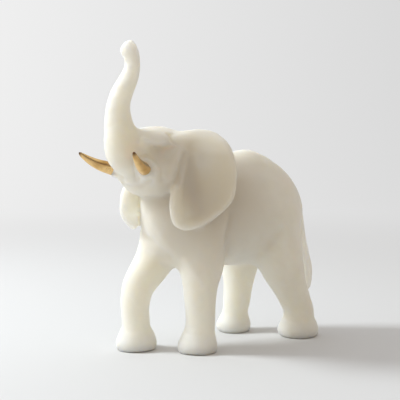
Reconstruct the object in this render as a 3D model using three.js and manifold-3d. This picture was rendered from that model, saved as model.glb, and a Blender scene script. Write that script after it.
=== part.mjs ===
// A carved elephant of white quartz with two gold tusks, standing on its own four feet.
// Millimetres, +Z up. It walks towards -Y with its trunk raised, and its left side is +X.
// The elephant is one solid. Its form is a distance field of ellipsoids and swept limbs, blended
// where the stone is blended, then meshed evenly and cut flat under the feet.

import * as THREE from 'three';
import { mergeVertices } from 'three/addons/utils/BufferGeometryUtils.js';
import Module from 'manifold-3d';

const wasm = await Module();
wasm.setup();

// Driving dimensions

const GRID_STEP = 2.4;
const BODY_TRIANGLES = 8000;
const TUSK_GAP = 0.3;

const TORSO = [
  { centre: [0, -40, 112], radii: [31, 30, 44] },
  { centre: [0, 6, 111], radii: [38, 52, 46] },
  { centre: [0, 44, 108], radii: [34, 42, 44] },
];

const NECK = [
  [0, -34, 122, 32],
  [0, -52, 141, 25],
];

const SPINE = [
  [0, -45, 146, 14],
  [0, -15, 142, 15],
  [0, 15, 145, 15],
  [0, 33, 147, 16],
  [0, 54, 131.5, 15.5],
  [0, 75, 108, 15.5],
];

const LEFT_FORELEG = [
  [20, -34, 104, 21],
  [20, -33, 86, 19.5],
  [20, -33.2, 70, 18],
  [20, -34.8, 54, 14.5],
  [20, -34.7, 38, 12.7],
  [20, -34.2, 25, 12.2],
  [20, -35.6, 14, 13.4],
  [20, -37.1, 6.5, 15.6],
  [20, -37.5, -1, 16.2],
];
const RIGHT_FORELEG = [
  [-18, -43, 104, 20.5],
  [-19, -45.5, 88, 18],
  [-19.5, -54, 70, 16],
  [-20, -68, 53, 13.6],
  [-20, -71.7, 38, 12.2],
  [-20, -71.2, 26, 11.8],
  [-19.8, -70.3, 16, 13.9],
  [-19.5, -70.6, 7, 16.4],
  [-19.5, -71, -1, 16.8],
];
const LEFT_HINDLEG = [
  [19, 46, 100, 22],
  [23, 47, 80, 21.5],
  [25, 51, 63, 19],
  [25, 58.5, 47.5, 15.5],
  [25, 67, 31, 13.4],
  [25, 72, 18, 14],
  [24.5, 71, 7.5, 17.4],
  [24.5, 70.8, -1, 17.4],
];
const RIGHT_HINDLEG = [
  [-18, 46, 100, 22],
  [-22, 45, 80, 20],
  [-25, 45, 60, 17],
  [-25, 44, 44, 13.5],
  [-25, 42, 28, 12.3],
  [-25, 41, 17, 12.6],
  [-25.3, 39, 7, 14.7],
  [-25.3, 38.5, -1, 14.9],
];
// The legs run on this far below the floor before they are cut off flat
const SOLE_ALLOWANCE = 12;

const TAIL = [
  [0, 82, 118, 9],
  [0, 91, 102, 6],
  [1, 95, 85, 4.6],
  [3, 98, 69, 4.2],
  [6, 99.5, 53, 4.8],
  [9, 96, 38, 3.4],
];

const TRUNK = [
  [0, -78, 160, 15],
  [0, -92.5, 161.5, 15.6],
  [0, -97, 169.5, 14.4],
  [0, -98.5, 178, 12.9],
  [0, -100.5, 190.9, 10.7],
  [0, -100.5, 200, 9.5],
  [0, -97, 210, 8.8],
  [0, -91.5, 219, 7.9],
  [0, -87.3, 227.5, 6.8],
  [0, -86.6, 234, 6.3],
  [0, -87.8, 239.5, 7],
  [0, -89.4, 244, 6.9],
  [0, -88.6, 248.3, 4.2],
];
const TRUNK_FINGER = [[0, -88.5, 246, 4], [0, -88, 250.3, 2.2]];
const TRUNK_LIP = [[0, -92, 243, 4.5], [0, -96, 244.5, 2.2]];

const HEAD_PIVOT = [0, -68, 158];
const HEAD_YAW = THREE.MathUtils.degToRad(4.7);
const HEAD_ROLL = THREE.MathUtils.degToRad(2);

const SKULL = { centre: [0, -60, 157], radii: [30, 25, 26] };
const FOREHEAD = { centre: [0, -70, 168], radii: [21, 25, 16] };
const JAW = { centre: [0, -71, 139.5], radii: [22, 20, 13.5] };
const BROW = [[15, -86, 170, 6], [20, -66, 174, 7], [18, -54, 171.5, 6.5]];
const CHEEK = [[19, -64, 148, 13], [17, -82, 150.5, 11]];
const EYE_GROOVE = [[27, -91, 161, 5], [32, -78, 162.5, 6.5], [35, -66, 163, 5]];
const TEMPLE = [[21, -55, 192, 7], [31, -59, 175, 6], [37, -61, 163, 4.5]];
const THROAT = [[0, -87, 119, 6], [17, -80, 120.5, 6], [30, -68, 124, 4]];
// The crown falls away to both sides from a softly rounded ridge
const CROWN_HEIGHT = 184.5;
const CROWN_FALL = 0.57;
const CROWN_RIDGE = 6;

const EAR_ROOT = [28, -67, 150];
const EAR_SPREAD = THREE.MathUtils.degToRad(32);
const EAR_OUTLINE = [
  [0, 22], [9, 29.5], [25, 31.5], [40, 25.5], [47.5, 8], [48.5, -9], [45, -26],
  [34.5, -37], [18, -46.5], [3.5, -49], [-5, -43], [-8, -31], [-5.5, -17], [2, 0],
];
const EAR_HALF_THICKNESS = 2.6;
const EAR_RIM_FLAT = 0.3;
const EAR_ROOT_SWELL = 6;
const EAR_FOLD = 22;
// The right ear is tipped forwards and hangs a little lower
const RIGHT_EAR_TIP = THREE.MathUtils.degToRad(8);
const RIGHT_EAR_AHEAD = 7;
const RIGHT_EAR_DROP = 4;
const EAR_CUP = 4.5;
const EAR_LOBE_SPLAY = 3;
const EAR_REAR_SPLAY = 2;
const EAR_CURL = 8;

const TUSK_BASE = [21, -93.5, 151];
const TUSK_TIP = [34.5, -115, 164.5];
const TUSK_SINK = 9;
const TUSK_SAG = 3;
const TUSK_BASE_RADIUS = 4.9;
const TUSK_TIP_RADIUS = 1.45;
const TUSK_SWELL = 1.1;
const TUSK_RINGS = 13;
const TUSK_SIDES = 14;

// How softly each piece runs into what it grows from
const BLEND = {
  torso: 16,
  spine: 10,
  neck: 16,
  leg: 9,
  tail: 3,
  forehead: 10,
  jaw: 5,
  cheek: 9,
  brow: 6,
  eyeGroove: 8,
  temple: 5,
  crown: 2.5,
  throat: 6,
  trunk: 8,
  trunkTip: 2.5,
  head: 7,
  ear: 3.5,
};

// Further away than this, a limb or an ear only gives the distance to its box or ball
const NEARBY = 16;

// The box that the field is sampled in
const FIELD_MIN = [-66, -122, -15];
const FIELD_MAX = [66, 116, 256];

// Distance fields: each takes a point and gives a distance, negative inside

const clamp01 = (v) => Math.min(1, Math.max(0, v));
const mix = (a, b, t) => a + (b - a) * t;
const smoothstep = (a, b, v) => {
  const t = clamp01((v - a) / (b - a));
  return t * t * (3 - 2 * t);
};

const minus = (a, b) => [a[0] - b[0], a[1] - b[1], a[2] - b[2]];
const dot = (a, b) => a[0] * b[0] + a[1] * b[1] + a[2] * b[2];
const cross = (a, b) => [
  a[1] * b[2] - a[2] * b[1], a[2] * b[0] - a[0] * b[2], a[0] * b[1] - a[1] * b[0],
];
const length = (a) => Math.hypot(a[0], a[1], a[2]);

function blend(a, b, k) {
  const h = clamp01(0.5 + (0.5 * (b - a)) / k);
  return mix(b, a, h) - k * h * (1 - h);
}

function carve(a, b, k) {
  return -blend(-a, b, k);
}

function ellipsoid({ centre: [cx, cy, cz], radii: [rx, ry, rz] }) {
  return (x, y, z) => {
    const px = (x - cx) / rx;
    const py = (y - cy) / ry;
    const pz = (z - cz) / rz;
    const near = Math.hypot(px, py, pz);
    const slope = Math.hypot(px / rx, py / ry, pz / rz);
    return slope > 1e-9 ? (near * (near - 1)) / slope : -Math.min(rx, ry, rz);
  };
}

// A limb is swept through its stations [x, y, z, radius] on a smooth curve
function limb(stations, steps = 3) {
  const centres = stations.map(([x, y, z]) => new THREE.Vector3(x, y, z));
  const curve = new THREE.CatmullRomCurve3(centres, false, 'centripetal');
  const radii = stations.map(([, , , r]) => new THREE.Vector3(r, 0, 0));
  const girth = new THREE.CatmullRomCurve3(radii, false, 'catmullrom');
  const last = (stations.length - 1) * steps;
  const beads = [];
  for (let i = 0; i <= last; i++) {
    beads.push([...curve.getPoint(i / last).toArray(), girth.getPoint(i / last).x]);
  }
  const box = new THREE.Box3();
  for (const [x, y, z, r] of beads) {
    box.expandByPoint(new THREE.Vector3(x - r, y - r, z - r));
    box.expandByPoint(new THREE.Vector3(x + r, y + r, z + r));
  }
  const { min, max } = box;
  return (x, y, z) => {
    const ox = Math.max(min.x - x, 0, x - max.x);
    const oy = Math.max(min.y - y, 0, y - max.y);
    const oz = Math.max(min.z - z, 0, z - max.z);
    const outside = Math.hypot(ox, oy, oz);
    if (outside > NEARBY) return outside;
    let d = Infinity;
    for (let i = 1; i < beads.length; i++) {
      const a = beads[i - 1];
      const b = beads[i];
      const bx = b[0] - a[0];
      const by = b[1] - a[1];
      const bz = b[2] - a[2];
      const px = x - a[0];
      const py = y - a[1];
      const pz = z - a[2];
      const t = clamp01((px * bx + py * by + pz * bz) / (bx * bx + by * by + bz * bz));
      const gap = Math.hypot(px - t * bx, py - t * by, pz - t * bz) - mix(a[3], b[3], t);
      if (gap < d) d = gap;
    }
    return d;
  };
}

// Signed distance in the plane to a closed outline
function outlineDistance(points) {
  return (s, t) => {
    let best = Infinity;
    let inside = false;
    for (let i = 0, j = points.length - 1; i < points.length; j = i++) {
      const [ax, ay] = points[i];
      const [bx, by] = points[j];
      const ex = bx - ax;
      const ey = by - ay;
      const wx = s - ax;
      const wy = t - ay;
      const k = clamp01((wx * ex + wy * ey) / (ex * ex + ey * ey));
      best = Math.min(best, Math.hypot(wx - k * ex, wy - k * ey));
      if (ay > t !== by > t && s < ((bx - ax) * (t - ay)) / (by - ay) + ax) inside = !inside;
    }
    return inside ? -best : best;
  };
}

// An ear is a rounded leaf. Its plane runs back and outwards from the root, and its face is bent:
// the top folds in over the neck, the middle is cupped, and the rim and the lobe flare outwards.
function ear(tip = 0, ahead = 0, drop = 0) {
  const corners = EAR_OUTLINE.map(([s, t]) => new THREE.Vector3(s, t, 0));
  const curve = new THREE.CatmullRomCurve3(corners, true, 'centripetal');
  const outline = curve.getPoints(EAR_OUTLINE.length * 3).slice(0, -1).map((p) => [p.x, p.y]);
  const rim = outlineDistance(outline);
  const back = [Math.sin(EAR_SPREAD), Math.cos(EAR_SPREAD)];
  const [s0, t0] = [20, -8];
  const reach = Math.max(...outline.map(([s, t]) => Math.hypot(s - s0, t - t0))) + NEARBY;
  const bend = (s, t) => {
    const fold = -EAR_FOLD * smoothstep(4, 35, t) ** 1.4;
    const cup = -EAR_CUP * Math.exp(-(((s - 16) / 15) ** 2) - ((t + 6) / 24) ** 2);
    const splay = EAR_LOBE_SPLAY * smoothstep(-10, -45, t) + EAR_REAR_SPLAY * smoothstep(34, 48, s);
    const curl = EAR_CURL * smoothstep(14, -9, s) * smoothstep(-2, -16, t)
      * (1 - 0.9 * smoothstep(-29, -46, t));
    return fold + cup + splay + curl;
  };
  return (x, y, z) => {
    const dx = x - EAR_ROOT[0];
    const dy = y - EAR_ROOT[1];
    const along = dx * back[0] + dy * back[1] + ahead;
    const height = z - EAR_ROOT[2] + drop;
    const s = along * Math.cos(tip) + height * Math.sin(tip);
    const t = height * Math.cos(tip) - along * Math.sin(tip);
    const out = dx * back[1] - dy * back[0];
    const away = Math.hypot(s - s0, t - t0, out) - reach;
    if (away > 0) return away + NEARBY / 2;
    const edge = rim(s, t);
    const middle = bend(s, t);
    const slant = Math.hypot(1, bend(s + 1, t) - middle, bend(s, t + 1) - middle);
    const swell = EAR_ROOT_SWELL * smoothstep(20, 0, s) * smoothstep(-36, -18, t);
    const half = EAR_HALF_THICKNESS + swell / 2;
    const round = EAR_HALF_THICKNESS - EAR_RIM_FLAT;
    const u = edge + round;
    const v = Math.abs(out - middle + swell / 2) / slant - (half - round);
    const leaf = Math.hypot(Math.max(u, 0), Math.max(v, 0)) + Math.min(Math.max(u, v), 0) - round;
    return leaf;
  };
}

// The head is turned and tipped a little about its pivot
const headTurn = new THREE.Matrix4()
  .makeTranslation(...HEAD_PIVOT)
  .multiply(new THREE.Matrix4().makeRotationZ(HEAD_YAW))
  .multiply(new THREE.Matrix4().makeRotationY(-HEAD_ROLL))
  .multiply(new THREE.Matrix4().makeTranslation(...HEAD_PIVOT.map((v) => -v)));

function inHead(field) {
  const m = headTurn.clone().invert().elements;
  return (x, y, z) => field(
    m[0] * x + m[4] * y + m[8] * z + m[12],
    m[1] * x + m[5] * y + m[9] * z + m[13],
    m[2] * x + m[6] * y + m[10] * z + m[14],
  );
}

function headField() {
  const skull = ellipsoid(SKULL);
  const forehead = ellipsoid(FOREHEAD);
  const jaw = ellipsoid(JAW);
  const brow = limb(BROW);
  const cheek = limb(CHEEK);
  const groove = limb(EYE_GROOVE);
  const temple = limb(TEMPLE);
  return (x, y, z) => {
    const side = Math.abs(x);
    let d = blend(skull(x, y, z), forehead(x, y, z), BLEND.forehead);
    d = blend(d, jaw(x, y, z), BLEND.jaw);
    d = blend(d, cheek(side, y, z), BLEND.cheek);
    d = blend(d, brow(side, y, z), BLEND.brow);
    d = carve(d, groove(side, y, z), BLEND.eyeGroove);
    const crown = CROWN_HEIGHT - CROWN_FALL * (Math.hypot(side, CROWN_RIDGE) - CROWN_RIDGE);
    d = carve(d, (crown - z) / Math.hypot(1, CROWN_FALL), BLEND.crown);
    return carve(d, temple(side, y, z), BLEND.temple);
  };
}

function elephantField() {
  const torso = TORSO.map(ellipsoid);
  const neck = limb(NECK);
  const spine = limb(SPINE);
  const legs = [LEFT_FORELEG, RIGHT_FORELEG, LEFT_HINDLEG, RIGHT_HINDLEG].map((leg) => limb(leg));
  const tail = limb(TAIL);
  const trunk = limb(TRUNK);
  const finger = limb(TRUNK_FINGER);
  const lip = limb(TRUNK_LIP);
  const head = inHead(headField());
  const crease = limb(THROAT);
  const throat = inHead((x, y, z) => crease(Math.abs(x), y, z));
  const leftEar = ear();
  const rightEar = ear(RIGHT_EAR_TIP, RIGHT_EAR_AHEAD, RIGHT_EAR_DROP);
  const ears = inHead((x, y, z) => (x > 0 ? leftEar(x, y, z) : rightEar(-x, y, z)));
  return (x, y, z) => {
    let d = torso.map((part) => part(x, y, z)).reduce((sum, next) => blend(sum, next, BLEND.torso));
    d = blend(d, spine(x, y, z), BLEND.spine);
    d = blend(d, neck(x, y, z), BLEND.neck);
    for (const leg of legs) d = blend(d, leg(x, y, z), BLEND.leg);
    d = blend(d, tail(x, y, z), BLEND.tail);
    let h = head(x, y, z);
    h = blend(h, trunk(x, y, z), BLEND.trunk);
    h = blend(h, finger(x, y, z), BLEND.trunkTip);
    h = blend(h, lip(x, y, z), BLEND.trunkTip);
    d = blend(d, h, BLEND.head);
    d = carve(d, throat(x, y, z), BLEND.throat);
    d = blend(d, ears(x, y, z), BLEND.ear);
    return Math.max(d, -SOLE_ALLOWANCE - z);
  };
}

// Meshing: the field is sampled on a grid of cubes, each split into six tetrahedra, and the
// surface crosses each tetrahedron in one or two triangles, so the mesh is always closed.
function surfaceOf(field, min, max, step) {
  const count = max.map((top, i) => Math.ceil((top - min[i]) / step) + 1);
  const [nx, ny] = count;
  const stride = [1, nx, nx * ny];
  const total = nx * ny * count[2];
  const place = (i) => [
    min[0] + (i % nx) * step,
    min[1] + (Math.floor(i / nx) % ny) * step,
    min[2] + Math.floor(i / stride[2]) * step,
  ];
  const value = new Float32Array(total);
  for (let i = 0; i < total; i++) value[i] = field(...place(i));

  const tetrahedra = [];
  for (const [a, b] of [[0, 1], [1, 0], [0, 2], [2, 0], [1, 2], [2, 1]]) {
    tetrahedra.push([0, stride[a], stride[a] + stride[b], stride[0] + stride[1] + stride[2]]);
  }
  const positions = [];
  const triangles = [];
  const made = new Map();
  const crossing = (a, b) => {
    const key = Math.min(a, b) * total + Math.max(a, b);
    if (made.has(key)) return made.get(key);
    const from = place(a);
    const to = place(b);
    let [low, high] = [0, 1];
    let [lowValue, highValue] = [value[a], value[b]];
    let t = lowValue / (lowValue - highValue);
    for (let i = 0; i < 3; i++) {
      const v = field(...from.map((c, k) => mix(c, to[k], t)));
      if (v < 0 === lowValue < 0) [low, lowValue] = [t, v];
      else [high, highValue] = [t, v];
      t = mix(low, high, lowValue / (lowValue - highValue || 1));
    }
    positions.push(from.map((c, k) => mix(c, to[k], t)));
    made.set(key, positions.length - 1);
    return positions.length - 1;
  };
  // The way a triangle faces is judged on the middles of its three grid edges
  const outward = (edges) => {
    const [a, b, c] = edges.map(([p, q]) => place(p).map((v, k) => v + place(q)[k]));
    const way = minus(place(edges[0][1]), place(edges[0][0]));
    const corners = edges.map(([p, q]) => crossing(p, q));
    const facing = dot(cross(minus(b, a), minus(c, a)), way);
    triangles.push(facing > 0 ? corners : [corners[0], corners[2], corners[1]]);
  };
  for (let k = 0; k < count[2] - 1; k++) {
    for (let j = 0; j < ny - 1; j++) {
      for (let i = 0; i < nx - 1; i++) {
        const corner = i + j * stride[1] + k * stride[2];
        for (const offsets of tetrahedra) {
          const points = offsets.map((o) => corner + o);
          const inner = points.filter((p) => value[p] < 0);
          if (inner.length === 0 || inner.length === 4) continue;
          const outer = points.filter((p) => value[p] >= 0);
          if (inner.length === 2) {
            const [p, q] = inner;
            const [r, s] = outer;
            outward([[p, r], [p, s], [q, s]]);
            outward([[p, r], [q, s], [q, r]]);
          } else {
            outward(inner.flatMap((p) => outer.map((q) => [p, q])));
          }
        }
      }
    }
  }
  return { positions, triangles };
}

// Evening: each point moves to the middle of its neighbours and back onto the surface
function even({ positions, triangles }, field, rounds) {
  const step = 0.05;
  for (let round = 0; round < rounds; round++) {
    const sums = positions.map(() => [0, 0, 0, 0]);
    for (const face of triangles) {
      for (let k = 0; k < 3; k++) {
        const sum = sums[face[k]];
        const next = positions[face[(k + 1) % 3]];
        for (let axis = 0; axis < 3; axis++) sum[axis] += next[axis];
        sum[3] += 1;
      }
    }
    positions.forEach((point, i) => {
      const [x, y, z] = point.map((v, k) => mix(v, sums[i][k] / sums[i][3], 0.6));
      const value = field(x, y, z);
      const slope = [
        (field(x + step, y, z) - value) / step,
        (field(x, y + step, z) - value) / step,
        (field(x, y, z + step) - value) / step,
      ];
      const reach = value / Math.max(dot(slope, slope), 0.25);
      point.forEach((_, k) => { point[k] = [x, y, z][k] - slope[k] * reach; });
    });
  }
}

// Thinning: edges are collapsed one by one, always the one that moves the surface least, and long
// edges cost more, so flat stretches keep an even net and tight curves keep their points.
const EVENNESS = 3e-4;
const LEAST_TURN = 0.3;
const LEAST_SHAPE = 0.2;

class Queue {
  items = [];

  push(item) {
    const { items } = this;
    let i = items.push(item) - 1;
    while (i > 0) {
      const parent = (i - 1) >> 1;
      if (items[parent].cost <= item.cost) break;
      items[i] = items[parent];
      i = parent;
    }
    items[i] = item;
  }

  pop() {
    const { items } = this;
    const first = items[0];
    const item = items.pop();
    let i = 0;
    while (items.length > 0) {
      let child = 2 * i + 1;
      if (child + 1 < items.length && items[child + 1].cost < items[child].cost) child += 1;
      if (child >= items.length || items[child].cost >= item.cost) break;
      items[i] = items[child];
      i = child;
    }
    if (items.length > 0) items[i] = item;
    return first;
  }
}

// The squared distances to the planes of the faces around a point, summed as a quadratic form
function planeForm(a, b, c) {
  const normal = cross(minus(b, a), minus(c, a));
  const area = length(normal);
  if (area < 1e-12) return new Float64Array(10);
  const [x, y, z] = normal.map((v) => v / area);
  const w = -dot([x, y, z], a);
  return Float64Array.of(x * x, x * y, x * z, x * w, y * y, y * z, y * w, z * z, z * w, w * w)
    .map((v) => v * area);
}

function formAt(q, [x, y, z]) {
  return q[0] * x * x + 2 * q[1] * x * y + 2 * q[2] * x * z + 2 * q[3] * x + q[4] * y * y
    + 2 * q[5] * y * z + 2 * q[6] * y + q[7] * z * z + 2 * q[8] * z + q[9];
}

// The point where the form is least, kept near the edge that it stands for
function lowestPoint(q, middle, span) {
  const [a, b, c, d, e, f, g, h, i] = [q[0], q[1], q[2], q[3], q[4], q[5], q[6], q[7], q[8]];
  const det = a * (e * h - f * f) - b * (b * h - f * c) + c * (b * f - e * c);
  const size = (a + e + h) / 3;
  if (Math.abs(det) < 1e-4 * size ** 3) return middle;
  const point = [
    -(d * (e * h - f * f) - b * (g * h - f * i) + c * (g * f - e * i)) / det,
    -(a * (g * h - i * f) - d * (b * h - f * c) + c * (b * i - g * c)) / det,
    -(a * (e * i - g * f) - b * (b * i - g * c) + d * (b * f - e * c)) / det,
  ];
  return length(minus(point, middle)) < span ? point : middle;
}

function shapeOf(a, b, c) {
  const [ab, bc, ca] = [minus(b, a), minus(c, b), minus(a, c)];
  const sum = dot(ab, ab) + dot(bc, bc) + dot(ca, ca);
  return (2 * Math.sqrt(3) * length(cross(ab, ca))) / (sum || 1);
}

function thin({ positions, triangles }, target) {
  const points = positions;
  const faces = triangles;
  const around = points.map(() => new Set());
  const forms = points.map(() => new Float64Array(10));
  const version = new Uint32Array(points.length);
  faces.forEach((face, i) => {
    const form = planeForm(...face.map((v) => points[v]));
    for (const v of face) {
      around[v].add(i);
      form.forEach((value, k) => { forms[v][k] += value; });
    }
  });
  const neighbours = (v) => {
    const found = new Set();
    for (const i of around[v]) for (const other of faces[i]) if (other !== v) found.add(other);
    return found;
  };
  const queue = new Queue();
  const offer = (u, v) => {
    const form = forms[u].map((value, k) => value + forms[v][k]);
    const span = length(minus(points[u], points[v]));
    const middle = points[u].map((value, k) => (value + points[v][k]) / 2);
    const point = lowestPoint(form, middle, span);
    const cost = Math.max(formAt(form, point), 0) + EVENNESS * span ** 4;
    queue.push({ cost, u, v, point, stamp: version[u] + version[v] });
  };
  const stays = (v, gone, point) => {
    for (const i of around[v]) {
      const face = faces[i];
      if (face.includes(gone)) continue;
      const before = face.map((k) => points[k]);
      const after = face.map((k) => (k === v ? point : points[k]));
      const turned = cross(minus(after[1], after[0]), minus(after[2], after[0]));
      const stood = cross(minus(before[1], before[0]), minus(before[2], before[0]));
      if (dot(turned, stood) < LEAST_TURN * length(turned) * length(stood)) return false;
      if (shapeOf(...after) < Math.min(LEAST_SHAPE, 0.9 * shapeOf(...before))) return false;
    }
    return true;
  };
  for (let v = 0; v < points.length; v++) for (const u of neighbours(v)) if (u < v) offer(u, v);
  let left = faces.length;
  while (left > target && queue.items.length > 0) {
    const { u, v, point, stamp } = queue.pop();
    if (around[u].size === 0 || around[v].size === 0 || version[u] + version[v] !== stamp) continue;
    const near = neighbours(u);
    const shared = [...neighbours(v)].filter((k) => near.has(k));
    if (shared.length !== 2 || !stays(u, v, point) || !stays(v, u, point)) continue;
    points[u] = point;
    forms[v].forEach((value, k) => { forms[u][k] += value; });
    for (const i of around[v]) {
      if (faces[i].includes(u)) {
        for (const k of faces[i]) if (k !== v) around[k].delete(i);
        faces[i] = null;
        left -= 1;
      } else {
        faces[i] = faces[i].map((k) => (k === v ? u : k));
        around[u].add(i);
      }
    }
    around[v].clear();
    version[u] += 1;
    version[v] += 1;
    for (const k of neighbours(u)) offer(Math.min(u, k), Math.max(u, k));
  }
  // Points that no face uses any more are left out, and the rest are numbered afresh
  const kept = new Map();
  const number = (v) => {
    if (!kept.has(v)) kept.set(v, kept.size);
    return kept.get(v);
  };
  const net = faces.filter((face) => face).map((face) => face.map(number));
  return { positions: [...kept.keys()].map((v) => points[v]), triangles: net };
}

// Solids: closed meshes that can be cut

function geometryFrom(positions, triangles) {
  const geometry = new THREE.BufferGeometry();
  geometry.setAttribute('position', new THREE.Float32BufferAttribute(positions.flat(), 3));
  geometry.setIndex(triangles.flat());
  return geometry;
}

function solidOf(geometry) {
  const bare = geometry.clone();
  bare.deleteAttribute('normal');
  bare.deleteAttribute('uv');
  const merged = mergeVertices(bare, 1e-4);
  return new wasm.Manifold(new wasm.Mesh({
    numProp: 3,
    vertProperties: new Float32Array(merged.attributes.position.array),
    triVerts: new Uint32Array(merged.index.array),
  }));
}

function geometryOf(solid) {
  const { vertProperties, triVerts } = solid.getMesh();
  const geometry = new THREE.BufferGeometry();
  geometry.setAttribute('position', new THREE.BufferAttribute(vertProperties, 3));
  geometry.setIndex(new THREE.BufferAttribute(triVerts, 1));
  return geometry;
}

// A tusk is a horn of round rings along a slightly sagging line, from its root inside the cheek to
// a blunt tip, thicker on top where it leaves the cheek. The side is 1 for left and -1 for right.
function tusk(side, grow) {
  const base = new THREE.Vector3(...TUSK_BASE);
  const tip = new THREE.Vector3(...TUSK_TIP);
  const ahead = tip.clone().sub(base).normalize();
  const across = new THREE.Vector3().crossVectors(ahead, new THREE.Vector3(0, 0, 1)).normalize();
  const above = new THREE.Vector3().crossVectors(across, ahead);
  const total = base.distanceTo(tip);
  const rings = [];
  for (let i = 0; i <= TUSK_RINGS; i++) {
    const along = mix(-TUSK_SINK - grow, total + grow, i / TUSK_RINGS);
    const t = along / total;
    const end = clamp01((along - total + TUSK_TIP_RADIUS) / (TUSK_TIP_RADIUS + grow));
    const taper = mix(TUSK_BASE_RADIUS, TUSK_TIP_RADIUS, clamp01(t) ** 1.1) + grow;
    const radius = taper * Math.sqrt(Math.max(1 - end * end, 0.06));
    const swell = TUSK_SWELL * Math.exp(-(((t - 0.1) / 0.18) ** 2));
    const centre = base.clone().addScaledVector(ahead, along)
      .addScaledVector(above, -TUSK_SAG * 4 * clamp01(t) * (1 - clamp01(t)));
    const ring = [];
    for (let k = 0; k < TUSK_SIDES; k++) {
      const angle = (2 * Math.PI * k) / TUSK_SIDES;
      const rise = Math.sin(angle) * (radius + (Math.sin(angle) > 0 ? swell : 0));
      const point = centre.clone().addScaledVector(across, Math.cos(angle) * radius)
        .addScaledVector(above, rise);
      ring.push([side * point.x, point.y, point.z]);
    }
    rings.push(ring);
  }
  return closedLoft(rings, side > 0);
}

// Rings of equal count joined in order, with a flat fan at each end
function closedLoft(rings, forward) {
  const sides = rings[0].length;
  const positions = rings.flat();
  const triangles = [];
  const face = (a, b, c) => triangles.push(forward ? [a, c, b] : [a, b, c]);
  for (let i = 0; i + 1 < rings.length; i++) {
    for (let k = 0; k < sides; k++) {
      const a = i * sides + k;
      const b = i * sides + ((k + 1) % sides);
      face(a, b, b + sides);
      face(a, b + sides, a + sides);
    }
  }
  for (const [ring, first] of [[0, true], [rings.length - 1, false]]) {
    const centre = positions.length;
    positions.push([0, 1, 2].map((axis) => rings[ring].reduce((sum, p) => sum + p[axis], 0) / sides));
    for (let k = 0; k < sides; k++) {
      const a = ring * sides + k;
      const b = ring * sides + ((k + 1) % sides);
      if (first) face(centre, b, a);
      else face(centre, a, b);
    }
  }
  return geometryFrom(positions, triangles);
}

// The stone body: thinned, cut flat under the feet, with a socket for each tusk
function elephantBody() {
  const field = elephantField();
  const surface = surfaceOf(field, FIELD_MIN, FIELD_MAX, GRID_STEP);
  even(surface, field, 4);
  const body = thin({ positions: surface.positions, triangles: surface.triangles }, BODY_TRIANGLES);
  even(body, field, 3);
  const floor = new THREE.BoxGeometry(200, 400, 40).translate(0, 0, -20);
  let solid = solidOf(geometryFrom(body.positions, body.triangles)).subtract(solidOf(floor));
  for (const side of [1, -1]) {
    const socket = tusk(side, TUSK_GAP).applyMatrix4(headTurn);
    solid = solid.subtract(solidOf(socket));
  }
  return geometryOf(solid);
}

const quartz = new THREE.MeshStandardMaterial({ color: 0xeeeade, roughness: 0.45, metalness: 0 });
const gold = new THREE.MeshStandardMaterial({ color: 0xc9a055, roughness: 0.22, metalness: 1 });

function named(name, geometry, material) {
  const mesh = new THREE.Mesh(geometry, material.clone());
  mesh.name = name;
  return mesh;
}

const head = new THREE.Group();
headTurn.decompose(head.position, head.quaternion, head.scale);
head.add(named('left_tusk', tusk(1, 0), gold));
head.add(named('right_tusk', tusk(-1, 0), gold));

const elephant = new THREE.Group();
elephant.add(named('elephant_body', elephantBody(), quartz));
elephant.add(head);

// The origin is under the middle of the whole sculpture, where it stands
const extent = new THREE.Box3().setFromObject(elephant);
const middle = extent.getCenter(new THREE.Vector3());
elephant.position.set(-middle.x, -middle.y, -extent.min.z);

const sculpture = new THREE.Group();
sculpture.add(elephant);

export default sculpture;
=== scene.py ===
# %% [markdown]
# # An elephant of white quartz with gold tusks
#
# The real thing is a desk sculpture: one carved and softly polished block of cloudy white stone,
# with two small gold horns glued into its cheeks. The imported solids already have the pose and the
# proportions, so this lesson is about what a carver does last: rounding, creases, folds, rims and
# the finish of the two materials.

# %% The frame
import math

import bpy
import numpy as np
from mathutils import Matrix, Vector


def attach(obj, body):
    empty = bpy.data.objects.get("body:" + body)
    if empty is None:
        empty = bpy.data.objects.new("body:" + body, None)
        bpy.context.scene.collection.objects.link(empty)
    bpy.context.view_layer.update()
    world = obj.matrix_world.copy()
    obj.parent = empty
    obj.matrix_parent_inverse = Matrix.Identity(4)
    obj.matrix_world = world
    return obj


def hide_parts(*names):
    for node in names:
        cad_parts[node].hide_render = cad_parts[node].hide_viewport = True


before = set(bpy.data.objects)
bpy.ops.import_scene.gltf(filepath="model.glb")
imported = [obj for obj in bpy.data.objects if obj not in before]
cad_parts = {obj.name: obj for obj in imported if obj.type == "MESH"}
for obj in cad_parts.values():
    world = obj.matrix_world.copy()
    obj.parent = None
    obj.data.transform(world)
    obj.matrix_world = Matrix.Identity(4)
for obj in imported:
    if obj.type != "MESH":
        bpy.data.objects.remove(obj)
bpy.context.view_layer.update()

# %% [markdown]
# Everything below is thought of in millimetres, because a carver's tools are, and Blender works in
# metres. The sculpture was set out round the middle of its shoulders, and the finished part is
# moved to stand over the middle of its own box. Both are kept here, so that a place can be given in
# the numbers that it was carved with.

# %% Units and places
MM = 0.001
UP = Vector((0, 0, 1))
STANCE = np.array([0.836, 6.853, 0.0])


def place(x, y, z):
    """A point of the sculpture, in millimetres as set out, as a point of the part in metres."""
    return Vector((np.array([x, y, z]) + STANCE) * MM)


def choose_none():
    """Nothing selected, because an operator acts on all that is."""
    if bpy.context.object and bpy.context.object.mode != "OBJECT":
        bpy.ops.object.mode_set(mode="OBJECT")
    bpy.ops.object.select_all(action="DESELECT")


def choose(thing):
    """Only this object selected and active."""
    choose_none()
    thing.select_set(True)
    bpy.context.view_layer.objects.active = thing


print("stance", STANCE)

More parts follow.
